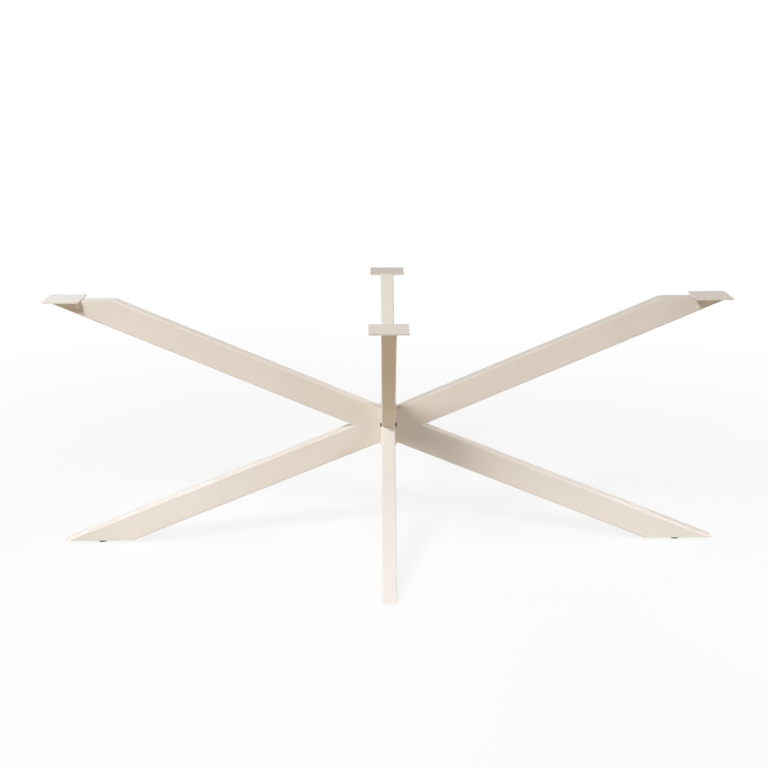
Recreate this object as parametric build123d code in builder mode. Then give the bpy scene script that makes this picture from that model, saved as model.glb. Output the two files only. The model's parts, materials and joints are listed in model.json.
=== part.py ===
"""Crossed steel base for a long table: four K-shaped halves that meet at one crossing.

Two long halves point along X and two short halves point along Y. Each half has one arm that
climbs to a mounting plate under the table top and one arm that drops to a levelling glide.
The short halves are mitred into one welded post, and the long halves are bolted to its sides.
Millimetres, +Z up, origin on the floor under the crossing.
"""
import os
from math import asin, atan2, cos, hypot, pi, sin, tan

from build123d import *

# Overall sizes
base_height = 720        # floor to the top of the mounting plates
long_reach = 935         # centre to the tips of the long arms
short_reach = 420        # centre to the tips of the short arms
long_crossing = 354      # floor to where the long arms' centre lines meet
crossing_step = 8        # the short arms' centre lines meet this much higher
foot_gap = 8             # floor to the cut ends of the lower arms

# Rectangular tube of all eight arms
tube_width = 75          # in the plane of a half
tube_thickness = 38      # across that plane
tube_wall = 2
tube_corner = 4          # outer radius of the tube's long edges

# Mounting plates under the table top
plate_size = 100
plate_thickness = 4
plate_corner = 3
screw_hole = 7
screw_spacing = 70

# Sheet inserts that close the cut ends of the tubes
insert_thickness = 3
insert_clearance = 0.2   # left for the weld between an insert and the tube round it

# Flanges on the roots of the long halves, and their screws
flange_thickness = 4
flange_ear = 19          # past each side of the tube
flange_margin = 0.5      # above and below the tubes that it closes
flange_corner = 3
joint_thread = 8         # M8
joint_edge = 5           # from a screw's axis to the edge of its ear
joint_slot = 9           # open to the edge of the ear
joint_grip = 16          # screw length under its head
bush_diameter = 14       # threaded bushes welded through the post
bush_clearance = 0.05

# Flat head of the M8 joint screws, sunk flush in the wider outer part of its slot
head_diameter = 13
head_height = 2.4
head_bevel = 0.5
head_clearance = 0.3     # radial, in its slot
socket_flats = 5
socket_depth = 1.8

# Levelling glides
glide_shift = 6          # from the middle of a foot's cut towards the crossing
glide_gap = 0.3          # between a glide screwed fully in and the foot above it
pad_diameter = 25
pad_bevel = 1.2
pad_floor = 2.5          # plastic under the stud
stud_thread = 8          # M8
stud_length = 30
stud_chamfer = 0.8
thread_clearance = 0.05  # radial, between a thread and its nut, bush or pad
nut_flats = 13
nut_height = 6.5

# Heights and lengths that follow
plate_underside = base_height - plate_thickness
short_crossing = long_crossing + crossing_step
tube_run = hypot(long_reach, short_reach, base_height)
inner_width = tube_width - 2 * tube_wall
inner_thickness = tube_thickness - 2 * tube_wall
inner_corner = tube_corner - tube_wall
post_side = tube_thickness / 2
flange_face = post_side + flange_thickness
flange_width = tube_thickness + 2 * flange_ear
joint_spacing = flange_width - 2 * joint_edge
slot_run = 2 * joint_edge + joint_slot
head_slot = head_diameter + 2 * head_clearance
post_centre = Vector(0, 0, short_crossing)
post_plane = Plane(origin=post_centre, x_dir=(0, 1, 0), z_dir=(1, 0, 0))


def arm_angle(reach, rise):
    """Slope of an arm from the crossing whose outer edge ends at this reach and rise."""
    return atan2(rise, reach) + asin(tube_width / 2 / hypot(reach, rise))


class Half:
    """One K-shaped half: the way it points, its reach, the height where its arms cross and their slopes."""

    def __init__(self, name, outward, reach, crossing, root):
        self.name = name
        self.outward = Vector(*outward)
        self.across = Vector(0, 0, 1).cross(self.outward)
        self.reach = reach
        self.crossing = crossing
        self.root = root
        self.rise = arm_angle(reach, plate_underside - crossing)
        self.fall = arm_angle(reach, crossing - foot_gap)

    def heading(self, angle):
        return self.outward * cos(angle) + Vector(0, 0, sin(angle))

    def point(self, out, height):
        return self.outward * out + Vector(0, 0, height)

    def tube_plane(self, angle):
        """Square to an arm at the crossing, with the tube's thickness along its X."""
        return Plane(origin=(0, 0, self.crossing), x_dir=self.across, z_dir=self.heading(angle))

    def mitre_plane(self):
        """Between the two arms, at equal angles to both, facing up."""
        facing = self.heading((self.rise - self.fall + pi) / 2)
        return Plane(origin=(0, 0, self.crossing), x_dir=self.across, z_dir=facing)

    def upright_plane(self, out, height):
        """Upright plane at a distance from the centre, facing outward, with its origin at a height."""
        return Plane(origin=self.point(out, height), x_dir=self.across, z_dir=self.outward)

    def root_height(self):
        """From the crossing to the top or bottom of the arms' ends, whichever is further."""
        return max(self.root * tan(slope) + tube_width / 2 / cos(slope) for slope in (self.rise, self.fall))

    def glide_place(self):
        cut_length = tube_width / sin(self.fall)
        return self.reach - cut_length / 2 - glide_shift


long_halves = [
    Half("right", (1, 0, 0), long_reach, long_crossing, flange_face),
    Half("left", (-1, 0, 0), long_reach, long_crossing, flange_face),
]
short_halves = [
    Half("rear", (0, 1, 0), short_reach, short_crossing, 0),
    Half("front", (0, -1, 0), short_reach, short_crossing, 0),
]
halves = long_halves + short_halves


def save(piece, name):
    piece.part.label = name
    export_step(piece.part, f"parts/{name}.step")


def tube_section():
    """Hollow section of an arm, for a sketch on its tube plane."""
    RectangleRounded(tube_thickness, tube_width, tube_corner)
    RectangleRounded(inner_thickness, inner_width, inner_corner, mode=Mode.SUBTRACT)


def insert_section():
    """Outline of a closing insert, for a sketch on the tube plane of its arm."""
    width = inner_width - 2 * insert_clearance
    thickness = inner_thickness - 2 * insert_clearance
    RectangleRounded(thickness, width, inner_corner)


def bush_hole_outlines():
    """Both bushes' holes, for a sketch on the post plane."""
    with GridLocations(joint_spacing, 0, 2, 1):
        Circle(bush_diameter / 2 + bush_clearance)


os.makedirs("parts", exist_ok=True)

# Upper arms: mitred to the lower arm, cut level under the mounting plate
for half in halves:
    with BuildPart() as upper_arm:
        with BuildSketch(half.tube_plane(half.rise)):
            tube_section()
        extrude(amount=tube_run)
        split(bisect_by=half.mitre_plane(), keep=Keep.TOP)
        split(bisect_by=half.upright_plane(half.root, half.crossing), keep=Keep.TOP)
        split(bisect_by=Plane.XY.offset(plate_underside), keep=Keep.BOTTOM)
        if half in short_halves:
            with BuildSketch(post_plane):
                bush_hole_outlines()
            extrude(amount=tube_thickness, both=True, mode=Mode.SUBTRACT)
    save(upper_arm, f"upper_arm_{half.name}")

# Lower arms: mitred to the upper arm, cut level above the floor
for half in halves:
    with BuildPart() as lower_arm:
        with BuildSketch(half.tube_plane(-half.fall)):
            tube_section()
        extrude(amount=tube_run)
        split(bisect_by=half.mitre_plane(), keep=Keep.BOTTOM)
        split(bisect_by=half.upright_plane(half.root, half.crossing), keep=Keep.TOP)
        split(bisect_by=Plane.XY.offset(foot_gap), keep=Keep.TOP)
        if half in short_halves:
            with BuildSketch(post_plane):
                bush_hole_outlines()
            extrude(amount=tube_thickness, both=True, mode=Mode.SUBTRACT)
    save(lower_arm, f"lower_arm_{half.name}")

# Mounting plates: flush with the tips of the upper arms, with screw holes clear of the tube
for half in halves:
    plate_plane = Plane(
        origin=half.point(half.reach - plate_size / 2, plate_underside), x_dir=half.outward, z_dir=(0, 0, 1)
    )
    with BuildPart() as mounting_plate:
        with BuildSketch(plate_plane):
            RectangleRounded(plate_size, plate_size, plate_corner)
            with GridLocations(screw_spacing, screw_spacing, 2, 2):
                Circle(screw_hole / 2, mode=Mode.SUBTRACT)
        extrude(amount=plate_thickness)
    save(mounting_plate, f"mounting_plate_{half.name}")

# Top inserts: close the upper arms flush with their level cuts
for half in halves:
    with BuildPart() as top_insert:
        with BuildSketch(half.tube_plane(half.rise)):
            insert_section()
        extrude(amount=tube_run)
        split(bisect_by=Plane.XY.offset(plate_underside), keep=Keep.BOTTOM)
        split(bisect_by=Plane.XY.offset(plate_underside - insert_thickness), keep=Keep.TOP)
    save(top_insert, f"top_insert_{half.name}")

# Foot inserts: close the lower arms and carry the nuts of the glides
for half in halves:
    with BuildPart() as foot_insert:
        with BuildSketch(half.tube_plane(-half.fall)):
            insert_section()
        extrude(amount=tube_run)
        split(bisect_by=Plane.XY.offset(foot_gap), keep=Keep.TOP)
        split(bisect_by=Plane.XY.offset(foot_gap + insert_thickness), keep=Keep.BOTTOM)
        with BuildSketch(Plane(origin=half.point(half.glide_place(), 0))):
            Circle(stud_thread / 2 + thread_clearance)
        extrude(amount=base_height, mode=Mode.SUBTRACT)
    save(foot_insert, f"foot_insert_{half.name}")

# Flanges: close the roots of the long halves and seat on the sides of the post
for half in long_halves:
    flange_height = 2 * (half.root_height() + flange_margin)
    with BuildPart() as root_flange:
        with BuildSketch(half.upright_plane(post_side, half.crossing)):
            RectangleRounded(flange_width, flange_height, flange_corner)
        extrude(amount=flange_thickness)
        for slot_width, slot_depth in ((joint_slot, flange_thickness), (head_slot, head_height)):
            with BuildSketch(half.upright_plane(flange_face, short_crossing)):
                with GridLocations(joint_spacing + slot_run, 0, 2, 1):
                    SlotCenterToCenter(slot_run, slot_width)
            extrude(amount=-slot_depth, mode=Mode.SUBTRACT)
    save(root_flange, f"root_flange_{half.name}")

# Threaded bushes: welded through the post, flush with its sides
with BuildPart() as post_bushes:
    with BuildSketch(post_plane.offset(-post_side)):
        with GridLocations(joint_spacing, 0, 2, 1):
            Circle(bush_diameter / 2)
            Circle(joint_thread / 2 + thread_clearance, mode=Mode.SUBTRACT)
    extrude(amount=tube_thickness)
save(post_bushes, "post_bushes")

# Joint screws: heads flush in the ears of each flange, threads in the bushes
for half in long_halves:
    head_seat = half.upright_plane(flange_face - head_height, short_crossing)
    with BuildPart() as joint_screws:
        with BuildSketch(head_seat):
            with GridLocations(joint_spacing, 0, 2, 1):
                Circle(head_diameter / 2)
        extrude(amount=head_height)
        chamfer(joint_screws.edges().group_by(Axis(post_centre, half.outward))[-1], length=head_bevel)
        with BuildSketch(head_seat.offset(head_height - socket_depth)):
            with GridLocations(joint_spacing, 0, 2, 1):
                RegularPolygon(radius=socket_flats / 2, side_count=6, major_radius=False)
        extrude(amount=socket_depth, mode=Mode.SUBTRACT)
        with BuildSketch(head_seat):
            with GridLocations(joint_spacing, 0, 2, 1):
                Circle(joint_thread / 2)
        extrude(amount=-joint_grip)
    save(joint_screws, f"joint_screws_{half.name}")

# Glides: a welded nut in the foot, a stud in the nut and a plastic pad on the stud
pad_top = foot_gap - glide_gap
for half in halves:
    foot_axis = Plane(origin=half.point(half.glide_place(), 0))
    with BuildPart() as foot_nut:
        with BuildSketch(foot_axis.offset(foot_gap + insert_thickness)):
            RegularPolygon(radius=nut_flats / 2, side_count=6, major_radius=False)
            Circle(stud_thread / 2 + thread_clearance, mode=Mode.SUBTRACT)
        extrude(amount=nut_height)
    save(foot_nut, f"foot_nut_{half.name}")

    with BuildPart() as glide_stud:
        with BuildSketch(foot_axis.offset(pad_floor)):
            Circle(stud_thread / 2)
        extrude(amount=stud_length)
        chamfer(glide_stud.edges().group_by(Axis.Z)[-1], length=stud_chamfer)
    save(glide_stud, f"glide_stud_{half.name}")

    with BuildPart() as glide_pad:
        with BuildSketch(foot_axis):
            Circle(pad_diameter / 2)
        extrude(amount=pad_top)
        chamfer(glide_pad.edges().group_by(Axis.Z)[0], length=pad_bevel)
        with BuildSketch(foot_axis.offset(pad_floor)):
            Circle(stud_thread / 2 + thread_clearance)
        extrude(amount=pad_top, mode=Mode.SUBTRACT)
    save(glide_pad, f"glide_pad_{half.name}")
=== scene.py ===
import json
from math import asin, atan2, cos, hypot, pi, radians, sin

import bmesh
import bpy
from mathutils import Matrix, Vector


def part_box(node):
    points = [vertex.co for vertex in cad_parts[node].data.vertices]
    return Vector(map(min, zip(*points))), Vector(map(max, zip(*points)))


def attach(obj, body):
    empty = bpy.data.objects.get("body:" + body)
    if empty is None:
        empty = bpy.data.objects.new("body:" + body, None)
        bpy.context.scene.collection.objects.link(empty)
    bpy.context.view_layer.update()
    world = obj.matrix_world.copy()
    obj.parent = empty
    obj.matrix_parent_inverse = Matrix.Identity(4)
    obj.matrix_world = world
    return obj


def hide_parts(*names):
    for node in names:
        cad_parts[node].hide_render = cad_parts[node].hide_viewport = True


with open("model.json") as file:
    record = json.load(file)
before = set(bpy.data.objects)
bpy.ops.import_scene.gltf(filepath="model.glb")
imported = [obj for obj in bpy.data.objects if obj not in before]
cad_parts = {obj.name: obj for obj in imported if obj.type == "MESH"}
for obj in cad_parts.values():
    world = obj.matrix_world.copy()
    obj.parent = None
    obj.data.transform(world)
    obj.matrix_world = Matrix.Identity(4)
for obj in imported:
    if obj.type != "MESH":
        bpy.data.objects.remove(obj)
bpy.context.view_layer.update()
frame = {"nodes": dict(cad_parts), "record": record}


# Sides and sizes of the base, in metres

UP = Vector((0, 0, 1))
OUTWARD = {
    "left": Vector((-1, 0, 0)),
    "right": Vector((1, 0, 0)),
    "front": Vector((0, -1, 0)),
    "rear": Vector((0, 1, 0)),
}
LONG_SIDES = ("left", "right")
SHORT_SIDES = ("front", "rear")
SIDES = LONG_SIDES + SHORT_SIDES
TUBE_HALF = 0.019  # half of the tube's narrow side
TUBE_WIDTH = 0.075  # its wide side
PLATE_SIZE = 0.100


def box_of(name):
    low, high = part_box(name)
    return Vector(low), Vector(high)


def middle_height(name):
    low, high = box_of(name)
    return (low.z + high.z) / 2


PLATE_UNDER = box_of("mounting_plate_left")[0].z
FOOT_CUT = box_of("lower_arm_left")[0].z
# Where each half's arms meet: the flanges are centred on the long halves' height, and the joint
# screws on that of the short ones
CROSSING = {side: middle_height("root_flange_right") for side in LONG_SIDES}
CROSSING.update({side: middle_height("joint_screws_right") for side in SHORT_SIDES})


def reach_of(side):
    low, high = box_of(f"mounting_plate_{side}")
    return max(high.dot(OUTWARD[side]), low.dot(OUTWARD[side]))


def point(side, out, across, height):
    """Point at a distance out, a distance across and a height, for one half."""
    outward = OUTWARD[side]
    return outward * out + UP.cross(outward) * across + UP * height


def slope(reach, height):
    """Slope of an arm whose outer edge ends at this reach and height from the crossing."""
    return atan2(height, reach) + asin(TUBE_WIDTH / 2 / hypot(reach, height))


def slopes(side):
    """Slopes of the upper and the lower arm of one half."""
    reach = reach_of(side)
    rise = slope(reach, PLATE_UNDER - CROSSING[side])
    fall = slope(reach, CROSSING[side] - FOOT_CUT)
    return rise, fall


def heading(side, angle):
    return OUTWARD[side] * cos(angle) + UP * sin(angle)


# Materials


NOISE_RANGE = (0.3, 0.7)  # where most of a noise lies


def node(tree, kind, inputs, **settings):
    """New shader node. An input that is given a socket is linked to it, and any other is set."""
    made = tree.nodes.new("ShaderNode" + kind)
    for name, setting in settings.items():
        setattr(made, name, setting)
    for key, value in inputs.items():
        if isinstance(value, bpy.types.NodeSocket):
            tree.links.new(value, made.inputs[key])
        else:
            made.inputs[key].default_value = value
    return made


def new_material(name):
    """A material, its tree, its shader and the place on the object."""
    material = bpy.data.materials.new(name)
    material.use_nodes = True
    tree = material.node_tree
    shader = next(n for n in tree.nodes if n.type == "BSDF_PRINCIPLED")
    place = node(tree, "TexCoord", {}).outputs["Object"]
    return material, tree, shader, place


def noise(tree, place, scale, detail=2.0, roughness=0.5):
    inputs = {"Vector": place, "Scale": scale, "Detail": detail, "Roughness": roughness}
    return node(tree, "TexNoise", inputs).outputs["Fac"]


def paint(tree, shader, factor, low, high):
    """Base colour that runs from low to high, each a level of the noise and a colour."""
    made = node(tree, "ValToRGB", {"Fac": factor})
    for element, (level, colour) in zip(made.color_ramp.elements, (low, high)):
        element.position = level
        element.color = (*colour, 1.0)
    tree.links.new(made.outputs["Color"], shader.inputs["Base Color"])


def map_range(tree, value, source, target, **settings):
    """Value moved from one range to another, each a low and a high end."""
    inputs = {
        "Value": value,
        "From Min": source[0],
        "From Max": source[1],
        "To Min": target[0],
        "To Max": target[1],
    }
    return node(tree, "MapRange", inputs, **settings).outputs["Result"]


def roughen(tree, shader, factor, low, high):
    roughness = map_range(tree, factor, NOISE_RANGE, (low, high))
    tree.links.new(roughness, shader.inputs["Roughness"])


def bump(tree, shader, height, distance, strength, below=None):
    inputs = {"Height": height, "Distance": distance, "Strength": strength}
    if below is not None:
        inputs["Normal"] = below
    normal = node(tree, "Bump", inputs).outputs["Normal"]
    tree.links.new(normal, shader.inputs["Normal"])
    return normal


def powder_coat():
    """Matt cream powder coat: a fine orange peel, with a faint drift in colour and gloss."""
    material, tree, shader, place = new_material("frame_paint")
    drift = noise(tree, place, scale=5.0, detail=3.0)
    speckle = noise(tree, place, scale=1400.0)
    peel = noise(tree, place, scale=420.0)
    paint(tree, shader, drift, low=(0.3, (0.765, 0.704, 0.640)), high=(0.7, (0.792, 0.732, 0.668)))
    roughen(tree, shader, speckle, low=0.58, high=0.70)
    shader.inputs["Specular IOR Level"].default_value = 0.35
    soft = bump(tree, shader, peel, distance=0.00012, strength=0.5)
    bump(tree, shader, speckle, distance=0.00003, strength=0.4, below=soft)
    return material


def black_oxide():
    """Black oxide on the joint screws: oily, with faint brown patches."""
    material, tree, shader, place = new_material("black_screw")
    patches = noise(tree, place, scale=260.0, detail=4.0, roughness=0.6)
    grain = noise(tree, place, scale=1500.0)
    steel, brown = (0.022, 0.022, 0.024), (0.05, 0.042, 0.036)
    paint(tree, shader, patches, low=(0.35, steel), high=(0.72, brown))
    roughen(tree, shader, patches, low=0.32, high=0.5)
    shader.inputs["Metallic"].default_value = 0.6
    bump(tree, shader, grain, distance=0.00002, strength=0.5)
    return material


def zinc():
    """Bright zinc on the studs, nuts and bushes."""
    material, tree, shader, place = new_material("zinc_steel")
    clouds = noise(tree, place, scale=180.0, detail=4.0, roughness=0.6)
    grain = noise(tree, place, scale=1200.0)
    paint(tree, shader, clouds, low=(0.3, (0.56, 0.57, 0.58)), high=(0.7, (0.68, 0.69, 0.69)))
    roughen(tree, shader, clouds, low=0.26, high=0.42)
    shader.inputs["Metallic"].default_value = 1.0
    bump(tree, shader, grain, distance=0.00002, strength=0.4)
    return material


def nylon():
    """Moulded black nylon of the glides, scuffed a little."""
    material, tree, shader, place = new_material("glide_plastic")
    scuffs = noise(tree, place, scale=320.0, detail=5.0, roughness=0.65)
    grain = noise(tree, place, scale=2200.0)
    paint(tree, shader, scuffs, low=(0.4, (0.024, 0.023, 0.022)), high=(0.75, (0.07, 0.066, 0.06)))
    roughen(tree, shader, scuffs, low=0.45, high=0.65)
    bump(tree, shader, grain, distance=0.00003, strength=0.6)
    return material


MATERIALS = {
    "frame_paint": powder_coat(),
    "black_screw": black_oxide(),
    "zinc_steel": zinc(),
    "glide_plastic": nylon(),
}


# Mesh helpers


def turns(count):
    return [2 * pi * i / count for i in range(count)]


def ring(centre, across, up, radii):
    """Ring of points in the plane of across and up, with a radius for each point."""
    return [
        centre + across * (radius * cos(angle)) + up * (radius * sin(angle))
        for radius, angle in zip(radii, turns(len(radii)))
    ]


def level_ring(centre, height, radii):
    """Ring of points round the upright line through a centre."""
    return ring(Vector((centre.x, centre.y, height)), Vector((1, 0, 0)), Vector((0, 1, 0)), radii)


def skin(form, rows):
    """Closed skin over rings of points, with a cap at each end."""
    rings = [[form.verts.new(place) for place in row] for row in rows]
    for low, high in zip(rings, rings[1:]):
        for i in range(len(low)):
            j = (i + 1) % len(low)
            form.faces.new((low[i], low[j], high[j], high[i]))
    form.faces.new(list(reversed(rings[0])))
    form.faces.new(rings[-1])


def new_piece(name, form, slot, body, sharp_angle):
    """Object from a form, smooth but for edges over an angle, in a material and on a body."""
    mesh = bpy.data.meshes.new(name)
    form.normal_update()
    form.to_mesh(mesh)
    form.free()
    for polygon in mesh.polygons:
        polygon.use_smooth = True
    mesh.set_sharp_from_angle(angle=radians(sharp_angle))
    mesh.materials.append(MATERIALS[slot])
    piece = bpy.data.objects.new(name, mesh)
    bpy.context.scene.collection.objects.link(piece)
    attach(piece, body)
    return piece


# Weld beads, coated with the frame


BEAD_SIZE = {"plate_side": 0.0032, "plate_end": 0.0028, "crotch": 0.0026, "post": 0.0042}
PLATE_END_HALF = 0.015  # half the bead at the plate's inner edge
ACROSS_HALF = 0.0165  # half a bead across the tube elsewhere
SIDE_BEAD_START, SIDE_BEAD_STOP = 0.003, 0.022  # from the plate's inner and outer edge
PUDDLE = 0.0042  # length of one ripple
RIPPLE = 0.12  # its swell, as a share of the bead's size
STEPS_PER_PUDDLE = 4
TIP_SIZE, TIP_LENGTH = 0.35, 1.2  # the ends are smaller, over this many sizes
BEAD_SUNK = 0.0006  # how far it reaches into the metal
BEAD_ARC_STEPS = 4
BEAD_FILL, BEAD_CROWN = 0.86, 0.1  # its face, as a share of its size, and how much it bulges
BEAD_SHARP = 40.0


def weld(form, start, end, side_a, side_b, size):
    """Rippled fillet weld from start to end, in the corner between side_a and side_b."""
    side_a, side_b = side_a.normalized(), side_b.normalized()
    total = (end - start).length
    steps = int(total / PUDDLE * STEPS_PER_PUDDLE)
    rows = []
    for k in range(steps + 1):
        done = total * k / steps
        centre = start.lerp(end, done / total)
        near_end = min(done, total - done) / (size * TIP_LENGTH)
        leg = size * min(1.0, TIP_SIZE + near_end) * (1 + RIPPLE * cos(2 * pi * done / PUDDLE))
        row = [
            centre - side_a * BEAD_SUNK - side_b * BEAD_SUNK,
            centre + side_a * leg - side_b * BEAD_SUNK,
        ]
        for m in range(BEAD_ARC_STEPS + 1):
            angle = pi / 2 * m / BEAD_ARC_STEPS
            bulge = leg * BEAD_FILL * (1 + BEAD_CROWN * sin(2 * angle))
            row.append(centre + side_a * (bulge * cos(angle)) + side_b * (bulge * sin(angle)))
        row.append(centre + side_b * leg - side_a * BEAD_SUNK)
        rows.append(row)
    skin(form, rows)


def plate_welds(side):
    """Beads between a mounting plate and the arm below it, on three edges."""
    across = UP.cross(OUTWARD[side])
    outer = reach_of(side)
    inner = outer - PLATE_SIZE
    form = bmesh.new()
    ends = [point(side, inner, way * PLATE_END_HALF, PLATE_UNDER) for way in (-1, 1)]
    weld(form, *ends, -OUTWARD[side], UP, BEAD_SIZE["plate_end"])
    for way in (-1, 1):
        start = point(side, inner + SIDE_BEAD_START, way * TUBE_HALF, PLATE_UNDER)
        stop = point(side, outer - SIDE_BEAD_STOP, way * TUBE_HALF, PLATE_UNDER)
        weld(form, start, stop, across * way, -UP, BEAD_SIZE["plate_side"])
    new_piece(f"plate_weld_{side}", form, "frame_paint", "base", BEAD_SHARP)


def crotch_weld(side):
    """Bead in the corner between the upper and the lower arm of one half."""
    rise, fall = slopes(side)
    corner = heading(side, (rise - fall) / 2)
    place = UP * CROSSING[side] + corner * (TUBE_WIDTH / 2 / sin((rise + fall) / 2))
    half = UP.cross(OUTWARD[side]) * ACROSS_HALF
    form = bmesh.new()
    upper, lower = heading(side, rise), heading(side, -fall)
    weld(form, place - half, place + half, upper, lower, BEAD_SIZE["crotch"])
    new_piece(f"crotch_weld_{side}", form, "frame_paint", "base", BEAD_SHARP)


def post_welds():
    """Beads where the front and rear halves meet, above and below the post."""
    rise, fall = slopes("front")
    half = Vector((ACROSS_HALF, 0, 0))
    form = bmesh.new()
    for turn, sign in ((rise, 1), (fall, -1)):
        place = UP * (CROSSING["front"] + sign * TUBE_WIDTH / 2 / cos(turn))
        front, rear = heading("front", sign * turn), heading("rear", sign * turn)
        weld(form, place - half, place + half, front, rear, BEAD_SIZE["post"])
    new_piece("post_welds", form, "frame_paint", "base", BEAD_SHARP)


for side in SIDES:
    plate_welds(side)
    crotch_weld(side)
post_welds()


# Levelling glides


THREAD_PITCH = 0.00125
THREAD_DEPTH = 0.00065
THREAD_FLANK, THREAD_ROOT = 2.6, 0.15
THREAD_AROUND = 28
THREAD_STEPS = 8  # levels in one turn
STUD_CHAMFER, STUD_CHAMFER_HEIGHT = 0.0009, 0.0012
STUD_SHARP = 60.0

# Share of the pad's radius, share of its height, and 1 where it has ribs
PAD_PROFILE = (
    (0.55, 0.0, 0),
    (0.80, 0.0, 0),
    (0.88, 0.02, 0),
    (0.945, 0.07, 0),
    (0.985, 0.15, 0),
    (1.0, 0.26, 0),
    (1.0, 0.34, 0),
    (0.985, 0.38, 1),
    (0.985, 0.86, 1),
    (0.975, 0.93, 0),
    (0.945, 0.975, 0),
    (0.90, 1.0, 0),
    (0.62, 1.0, 0),
)
PAD_AROUND = 96
RIBS, RIB_DEPTH = 24, 0.028
PAD_HOLE, PAD_HOLE_EDGE, PAD_HOLE_FLOOR = 0.00405, 0.0006, 0.0026
PAD_SHARP = 50.0


def threaded_stud(side):
    """M8 stud with its real thread, in place of the plain one."""
    low, high = box_of(f"glide_stud_{side}")
    centre = (low + high) / 2
    radius = (high.x - low.x) / 2
    length = high.z - low.z
    levels = int(length / THREAD_PITCH * THREAD_STEPS)
    rows = []
    for k in range(levels + 1):
        height = low.z + length * k / levels
        to_end = min(1.0, (high.z - height) / STUD_CHAMFER_HEIGHT)
        limit = radius - STUD_CHAMFER * (1 - to_end)
        radii = []
        for i in range(THREAD_AROUND):
            phase = (height / THREAD_PITCH - i / THREAD_AROUND) % 1.0
            crest = min(1.0, max(0.0, THREAD_FLANK * abs(phase - 0.5) - THREAD_ROOT))
            radii.append(min(limit, radius - THREAD_DEPTH * (1 - crest)))
        rows.append(level_ring(centre, height, radii))
    form = bmesh.new()
    skin(form, rows)
    piece = new_piece(f"threaded_stud_{side}", form, "zinc_steel", f"glide_{side}", STUD_SHARP)
    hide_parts(f"glide_stud_{side}")


def ribbed_pad(side):
    """Moulded pad with a rounded foot, grip ribs round its side and a hole for the stud."""
    low, high = box_of(f"glide_pad_{side}")
    centre = (low + high) / 2
    radius = (high.x - low.x) / 2
    rows = []
    for share, level, ribbed in PAD_PROFILE:
        depth = ribbed * RIB_DEPTH / 2
        radii = [radius * (share - depth * (1 - cos(RIBS * angle))) for angle in turns(PAD_AROUND)]
        rows.append(level_ring(centre, low.z + (high.z - low.z) * level, radii))
    hole = (
        (PAD_HOLE + PAD_HOLE_EDGE, high.z),
        (PAD_HOLE, high.z - PAD_HOLE_EDGE),
        (PAD_HOLE, low.z + PAD_HOLE_FLOOR),
    )
    rows += [level_ring(centre, height, [wide] * PAD_AROUND) for wide, height in hole]
    form = bmesh.new()
    skin(form, rows)
    piece = new_piece(f"ribbed_pad_{side}", form, "glide_plastic", f"glide_{side}", PAD_SHARP)
    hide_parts(f"glide_pad_{side}")


for side in SIDES:
    threaded_stud(side)
    ribbed_pad(side)


# Joint screws: flat heads with a rounded rim and a hex socket, and a chamfered end


HEAD_RADIUS, HEAD_HEIGHT = 0.0065, 0.0024
HEAD_RIM = 0.0006
HEAD_RIM_STEPS = 4
HEAD_UNDER, HEAD_UNDER_SHARE = 0.0003, 0.96  # the soft edge below the head
SOCKET_FLATS, SOCKET_DEPTH = 0.005, 0.0018
SOCKET_EDGE, SOCKET_FLARE = 0.0003, 0.0005
SHANK_RADIUS = 0.004
SHANK_TIP, SHANK_TIP_SHARE = 0.0008, 0.8
SCREW_AROUND = 48
SCREW_SHARP = 45.0


def hexagon(flats):
    """Radii of a hexagon that is this wide across its flats."""
    sectors = ((angle + pi / 6) % (pi / 3) - pi / 6 for angle in turns(SCREW_AROUND))
    return [flats / 2 / cos(sector) for sector in sectors]


def screw_outline(near, far):
    """Distances out along the screw, from its tip to its socket's floor, with their radii."""
    seat = far - HEAD_HEIGHT
    rim = far - HEAD_RIM
    levels = [
        (near, SHANK_RADIUS * SHANK_TIP_SHARE),
        (near + SHANK_TIP, SHANK_RADIUS),
        (seat, SHANK_RADIUS),
        (seat, HEAD_RADIUS * HEAD_UNDER_SHARE),
        (seat + HEAD_UNDER, HEAD_RADIUS),
        (rim, HEAD_RADIUS),
    ]
    for k in range(1, HEAD_RIM_STEPS + 1):
        angle = pi / 2 * k / HEAD_RIM_STEPS
        levels.append((rim + HEAD_RIM * sin(angle), HEAD_RADIUS - HEAD_RIM * (1 - cos(angle))))
    outline = [(out, [radius] * SCREW_AROUND) for out, radius in levels]
    outline.append((far, hexagon(SOCKET_FLATS + SOCKET_FLARE)))
    outline.append((far - SOCKET_EDGE, hexagon(SOCKET_FLATS)))
    outline.append((far - SOCKET_DEPTH, hexagon(SOCKET_FLATS)))
    return outline


def flat_screws(side):
    """Both screws of one flange, in place of the plain ones."""
    low, high = box_of(f"joint_screws_{side}")
    outward = OUTWARD[side]
    across = UP.cross(outward)
    near, far = sorted((abs(low.x), abs(high.x)))
    outline = screw_outline(near, far)
    form = bmesh.new()
    for way in (-1, 1):
        axis = across * (way * (high.y - HEAD_RADIUS)) + UP * ((low.z + high.z) / 2)
        skin(form, [ring(axis + outward * out, across, UP, radii) for out, radii in outline])
    bmesh.ops.recalc_face_normals(form, faces=form.faces)
    piece = new_piece(f"flat_screws_{side}", form, "black_screw", "base", SCREW_SHARP)
    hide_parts(f"joint_screws_{side}")


for side in LONG_SIDES:
    flat_screws(side)


# CAD nodes: their materials, and soft edges where plate and tube are cut


SOFT_NODES = ("mounting_plate", "root_flange", "upper_arm", "lower_arm")
SOFT_EDGE = 0.0005
SOFT_EDGE_STEPS = 2
SOFT_EDGE_ANGLE = 50.0
SLOT_OF = {part["node"]: part["material_slot"] for part in frame["record"]["subparts"]}

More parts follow.
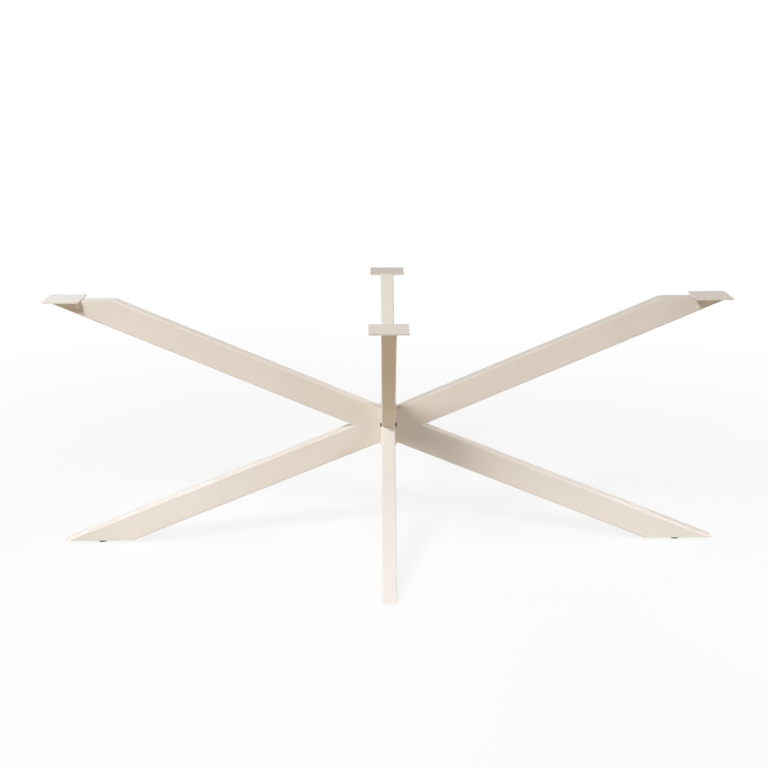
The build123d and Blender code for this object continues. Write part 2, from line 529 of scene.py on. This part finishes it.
for name, cad_node in frame["nodes"].items():
    materials = cad_node.data.materials
    if not materials:
        materials.append(None)
    for index in range(len(materials)):
        materials[index] = MATERIALS[SLOT_OF[name]]
    if name.startswith(SOFT_NODES):
        edge = cad_node.modifiers.new("soft_edges", "BEVEL")
        edge.limit_method = "ANGLE"
        edge.angle_limit = radians(SOFT_EDGE_ANGLE)
        edge.width = SOFT_EDGE
        edge.segments = SOFT_EDGE_STEPS
        edge.harden_normals = True


# Floor and world: pale to the camera and in reflections


FLOOR_PALE = (0.86, 0.85, 0.84, 1)
FLOOR_BOUNCE = (0.67, 0.545, 0.375, 1)
FLOOR_GLOW = (0.84, 1.0)  # the glow's share near the object and far from it
GLOW_REACH = (0.8, 3.0)  # the distances that count as near and far
FLOOR_SIZE = 30.0
FLOOR_DROP = 0.0002
AMBIENT, AMBIENT_TINT = 0.02, (1.0, 0.99, 0.975, 1)
WHITE = (1, 1, 1, 1)


def seen_rays(tree):
    """1 for camera, glossy and transmission rays, and else 0."""
    rays = node(tree, "LightPath", {}).outputs
    shiny = {0: rays["Is Glossy Ray"], 1: rays["Is Transmission Ray"]}
    either = node(tree, "Math", shiny, operation="MAXIMUM").outputs[0]
    seen = {0: rays["Is Camera Ray"], 1: either}
    return node(tree, "Math", seen, operation="MAXIMUM").outputs[0]


def floor_material():
    """Pale where it is seen, and a warmer tone in the light that it sends back up."""
    material = bpy.data.materials.new("studio_floor")
    material.use_nodes = True
    tree = material.node_tree
    tree.nodes.clear()
    seen = seen_rays(tree)
    tones = {"Factor": seen, "A": FLOOR_BOUNCE, "B": FLOOR_PALE}
    tone = node(tree, "Mix", tones, data_type="RGBA").outputs["Result"]
    diffuse = node(tree, "BsdfDiffuse", {"Color": tone}).outputs[0]
    glow = node(tree, "Emission", {"Strength": 1.0}).outputs[0]
    place = node(tree, "TexCoord", {}).outputs["Object"]
    distance = node(tree, "VectorMath", {0: place}, operation="LENGTH").outputs["Value"]
    fade = map_range(tree, distance, GLOW_REACH, FLOOR_GLOW, interpolation_type="SMOOTHSTEP")
    share = node(tree, "Math", {0: seen, 1: fade}, operation="MULTIPLY").outputs[0]
    mixed = node(tree, "MixShader", {0: share, 1: diffuse, 2: glow}).outputs[0]
    node(tree, "OutputMaterial", {"Surface": mixed})
    return material


def studio_floor():
    form = bmesh.new()
    bmesh.ops.create_grid(form, x_segments=1, y_segments=1, size=FLOOR_SIZE)
    mesh = bpy.data.meshes.new("floor")
    form.to_mesh(mesh)
    form.free()
    mesh.materials.append(floor_material())
    floor = bpy.data.objects.new("floor", mesh)
    floor.location.z = -FLOOR_DROP
    bpy.context.scene.collection.objects.link(floor)


def studio_world():
    """White where it is seen, and a weak light on everything else."""
    world = bpy.data.worlds.new("studio")
    world.use_nodes = True
    tree = world.node_tree
    tree.nodes.clear()
    lit = node(tree, "Background", {"Color": AMBIENT_TINT, "Strength": AMBIENT}).outputs[0]
    white = node(tree, "Background", {"Color": WHITE, "Strength": 1.0}).outputs[0]
    mixed = node(tree, "MixShader", {0: seen_rays(tree), 1: lit, 2: white}).outputs[0]
    node(tree, "OutputWorld", {"Surface": mixed})
    bpy.context.scene.world = world


studio_floor()
studio_world()


# Lamps


MIDDLE = (0, 0, 0.4)
WIDE = 180.0
NEUTRAL = (1.0, 1.0, 1.0)
WARM = (1.04, 0.97, 0.88)
COOL = (0.88, 1.0, 1.2)
LAMPS = {
    # name: (place, aim, size, spread in degrees, power, tint)
    "key": ((-1.3, -2.4, 3.5), MIDDLE, 1.0, WIDE, 119.0, NEUTRAL),
    "fill": ((1.8, -2.6, 2.4), MIDDLE, 1.0, WIDE, 4.0, WARM),
    "left_side": ((-3.4, 0.0, 0.55), MIDDLE, 0.9, WIDE, 46.0, NEUTRAL),
    "right_side": ((3.3, -0.5, 1.8), MIDDLE, 1.2, WIDE, 37.0, WARM),
    "top": ((-0.3, 0.5, 3.3), MIDDLE, 1.2, WIDE, 5.0, NEUTRAL),
    "left_plate": ((-2.4, -0.6, 2.6), (-0.98, 0, 0.72), 0.3, 24.0, 0.4, COOL),
    "left_foot": ((-1.7, -2.1, 0.45), (-0.66, 0, 0.06), 0.4, 36.0, 0.62, COOL),
    "right_foot": ((2.1, -1.6, 0.75), (0.62, 0, 0.03), 0.4, 40.0, 1.2, COOL),
    "front_foot": ((0.0, -2.6, 1.2), (0, -0.42, -0.05), 0.3, 22.0, 0.25, COOL),
    "back": ((0.6, 3.4, 0.45), MIDDLE, 1.2, WIDE, 44.0, NEUTRAL),
}


def lamp(name, place, aim, size, spread, power, tint):
    data = bpy.data.lights.new(name, "AREA")
    data.shape = "DISK"
    data.size = size
    data.energy = power
    data.color = tint
    data.spread = radians(spread)
    light = bpy.data.objects.new(name, data)
    light.location = place
    light.rotation_euler = (Vector(aim) - Vector(place)).to_track_quat("-Z", "Y").to_euler()
    bpy.context.scene.collection.objects.link(light)


for name, setting in LAMPS.items():
    lamp(name, *setting)


# Camera, as fitted to the photograph's edges


CAMERA_PLACE = Vector((-0.01940886, -3.175094152, 1.412313346))
CAMERA_RIGHT = Vector((0.99998167, -0.00386643, -0.0046589))
CAMERA_DOWN = Vector((-0.00556621, -0.28442369, -0.95868252))
SENSOR = 36.0  # its width in millimetres
FOCAL_PIXELS = 1183.336
FRAME_PIXELS = 768  # the photograph's width


def photo_camera():
    data = bpy.data.cameras.new("camera")
    data.sensor_width = SENSOR
    data.lens = FOCAL_PIXELS * SENSOR / FRAME_PIXELS
    camera = bpy.data.objects.new("camera", data)
    right = CAMERA_RIGHT.normalized()
    back = right.cross(-CAMERA_DOWN).normalized()
    turned = Matrix((right, back.cross(right), back)).transposed().to_4x4()
    camera.matrix_world = Matrix.Translation(CAMERA_PLACE) @ turned
    bpy.context.scene.collection.objects.link(camera)
    bpy.context.scene.camera = camera
    bpy.context.scene.view_settings.view_transform = "Standard"


photo_camera()
